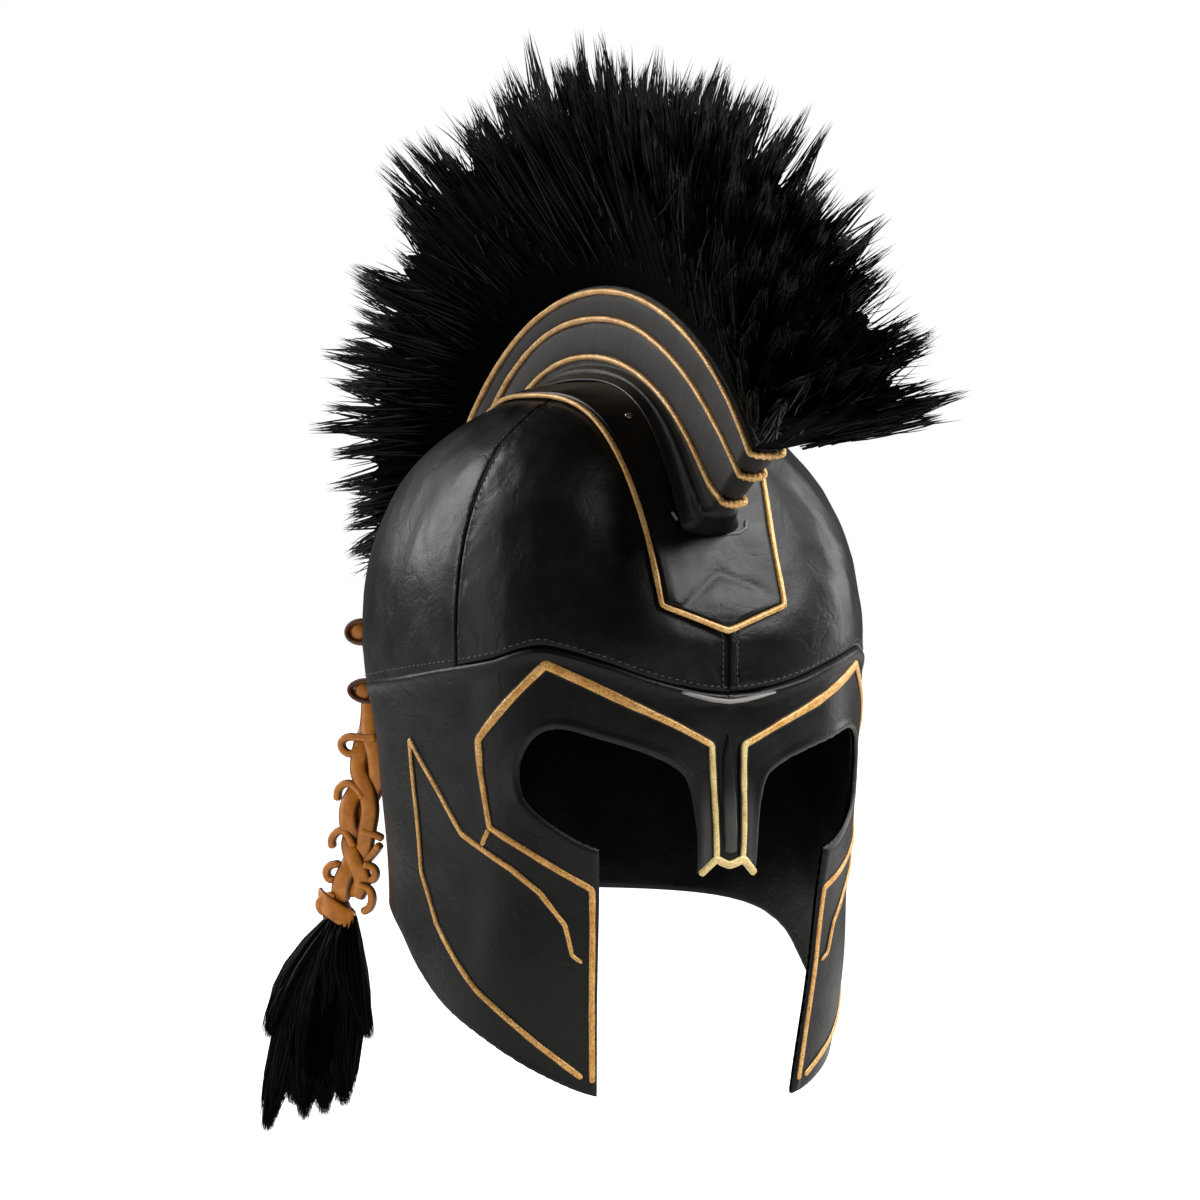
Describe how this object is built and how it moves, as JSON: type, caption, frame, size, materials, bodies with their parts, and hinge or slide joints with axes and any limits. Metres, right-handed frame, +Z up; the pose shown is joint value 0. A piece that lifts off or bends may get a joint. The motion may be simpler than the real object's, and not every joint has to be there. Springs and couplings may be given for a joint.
{
  "type": "leather crested helmet",
  "caption": "Black leather helmet with a nose guard and cheek pieces, gold line trims, an upright comb with a horsehair plume, and a laced tan braid that ends in a hair tassel.",
  "frame": {"origin": "Inside the top of the crown, where the head meets it, on the middle plane.", "axes": "+Z is up, -Y is the front that the nose guard faces, +X is the wearer's left."},
  "size_m": [0.2035, 0.424, 0.4712],
  "materials": {
    "black_leather": "black dyed leather with a soft sheen",
    "comb_leather": "matte dark grey dyed leather",
    "gold_cord": "gold metallic thread cord",
    "tan_leather": "tan leather lace with dark edges",
    "black_hair": "dyed black horsehair"
  },
  "bodies": {
    "root": {"crown_front": "black_leather", "crown_rear": "black_leather", "face_guard": "black_leather", "crown_plate": "black_leather", "nose_rib": "black_leather", "brow_lip": "black_leather", "comb": "comb_leather", "plate_piping": "gold_cord", "comb_cord_inner": "gold_cord", "comb_cord_middle": "gold_cord", "comb_cord_outer": "gold_cord", "brow_trim_right": "gold_cord", "leaf_trim_right": "gold_cord", "trim_link_right": "gold_cord", "brow_trim_left": "gold_cord", "leaf_trim_left": "gold_cord", "trim_link_left": "gold_cord", "nose_end_trim": "gold_cord", "lace_loop_upper": "tan_leather", "lace_loop_lower": "tan_leather", "braid": "tan_leather", "braid_binding": "tan_leather", "plume": "black_hair", "tassel": "black_hair"}
  },
  "joints": []
}
